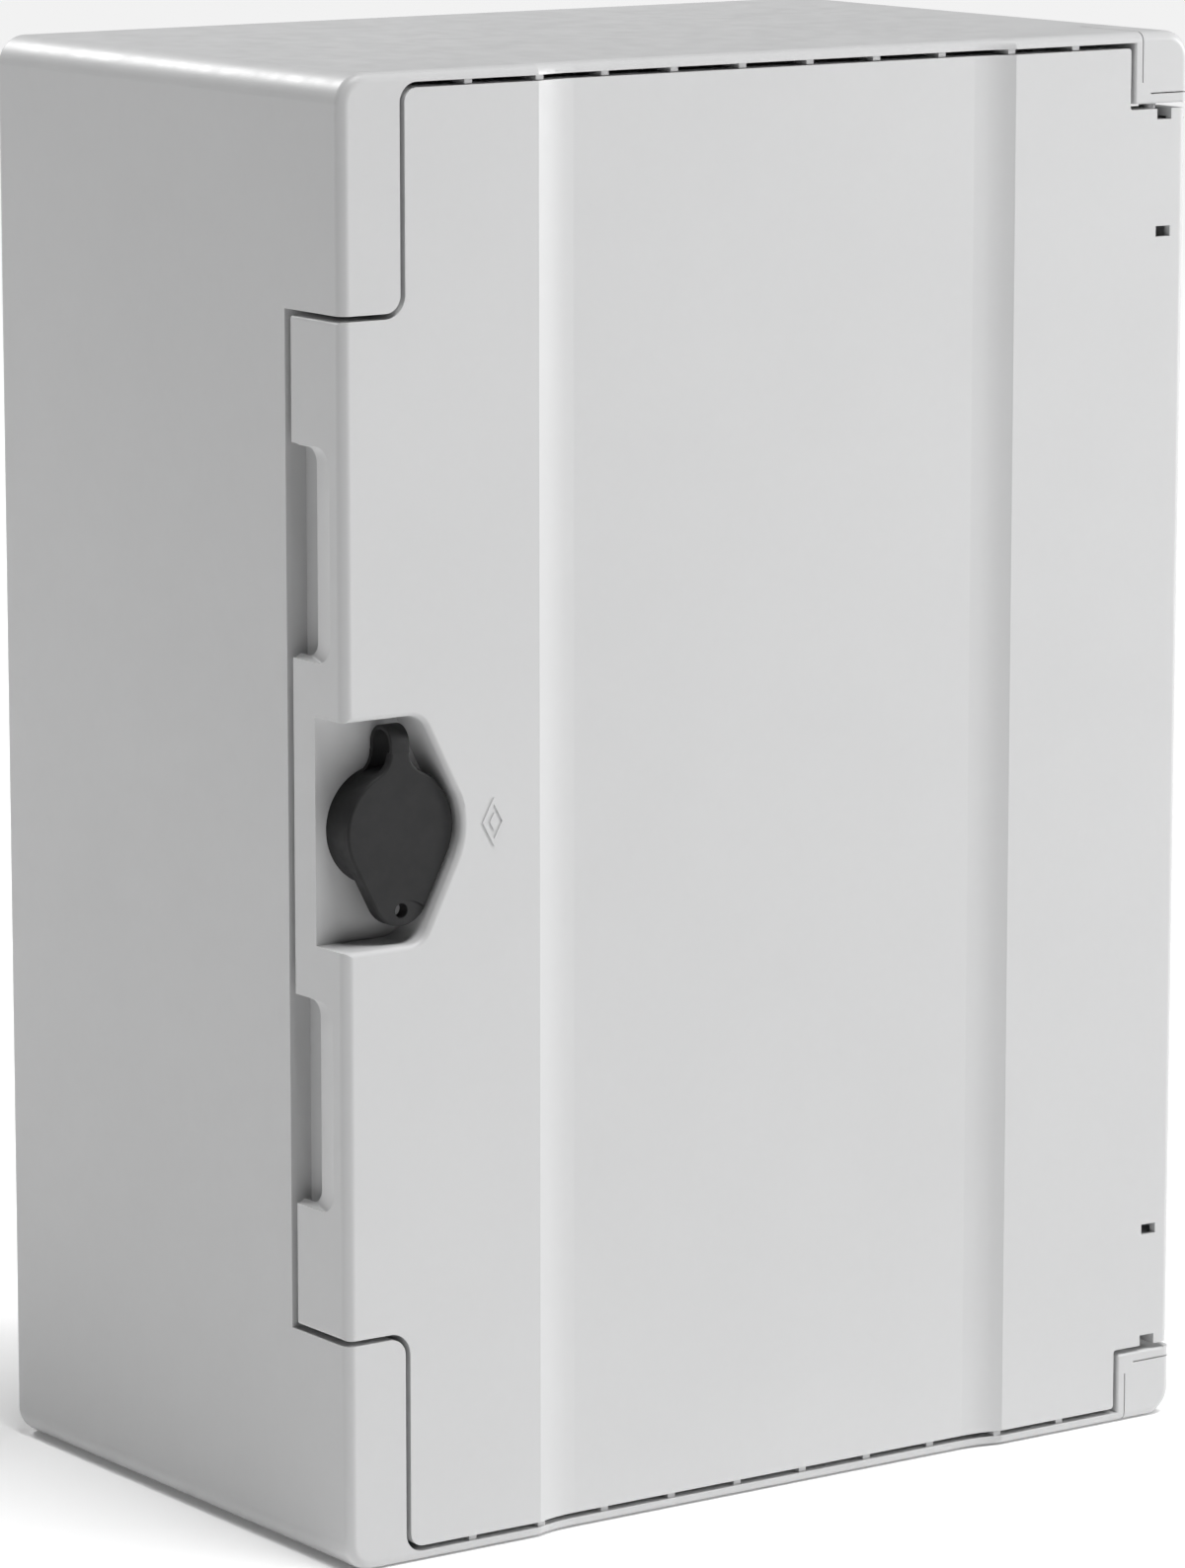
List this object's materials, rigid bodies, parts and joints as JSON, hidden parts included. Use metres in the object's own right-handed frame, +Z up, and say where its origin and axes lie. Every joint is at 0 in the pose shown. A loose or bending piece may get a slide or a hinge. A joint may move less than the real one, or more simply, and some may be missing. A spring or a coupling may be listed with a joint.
{
  "type": "wall enclosure cabinet",
  "caption": "Grey moulded wall cabinet with a side-hinged door, a channelled front, finger grips in the door edge and a quarter-turn lock under a black rubber cover.",
  "frame": {"origin": "middle of the underside of the cabinet", "axes": "+Z up, +Y towards the wall behind, -Y out of the door, +X towards the hinge side"},
  "size_m": [0.356, 0.218, 0.5],
  "materials": {
    "shell_plastic": "fine moulded texture, light grey",
    "door_plastic": "fine moulded texture, light grey",
    "seal_foam": "foamed seal, matt",
    "pin_steel": "drawn bar, zinc plated",
    "zinc_sheet": "zinc-plated sheet",
    "screw_steel": "zinc plated",
    "brass": "turned",
    "lock_metal": "die-cast, nickel plated",
    "black_rubber": "satin moulded rubber"
  },
  "bodies": {
    "cabinet": {"shell": "shell_plastic", "hinge_pin_upper": "pin_steel", "hinge_pin_lower": "pin_steel", "hinge_cover_upper": "door_plastic", "hinge_cover_lower": "door_plastic", "mounting_plate": "zinc_sheet", "plate_screws": "screw_steel", "plate_washers": "screw_steel", "threaded_inserts": "brass"},
    "door": {"door_panel": "door_plastic", "door_seal": "seal_foam", "lock_housing": "lock_metal", "lock_seal": "seal_foam", "lock_nut": "screw_steel", "cover_ring": "black_rubber", "cover_strap": "black_rubber"},
    "lock": {"lock_rotor": "lock_metal", "lock_cam": "zinc_sheet", "cam_washer": "screw_steel", "cam_screw": "screw_steel"},
    "lock_cover": {"cover_cap": "black_rubber"}
  },
  "joints": [
    {"name": "door_hinge", "type": "hinge", "parent": "cabinet", "child": "door", "pos_m": [0.1664, -0.0995, 0.25], "axis": [0, 0, 1], "range_deg": [0, 165]},
    {"name": "lock_turn", "type": "hinge", "parent": "door", "child": "lock", "pos_m": [-0.1537, -0.079, 0.25], "axis": [0, -1, 0], "range_deg": [0, 90]},
    {"name": "cover_flip", "type": "hinge", "parent": "door", "child": "lock_cover", "pos_m": [-0.1537, -0.0996, 0.2784], "axis": [-1, 0, 0], "range_deg": [0, 85], "deforming": ["cover_strap"]}
  ]
}
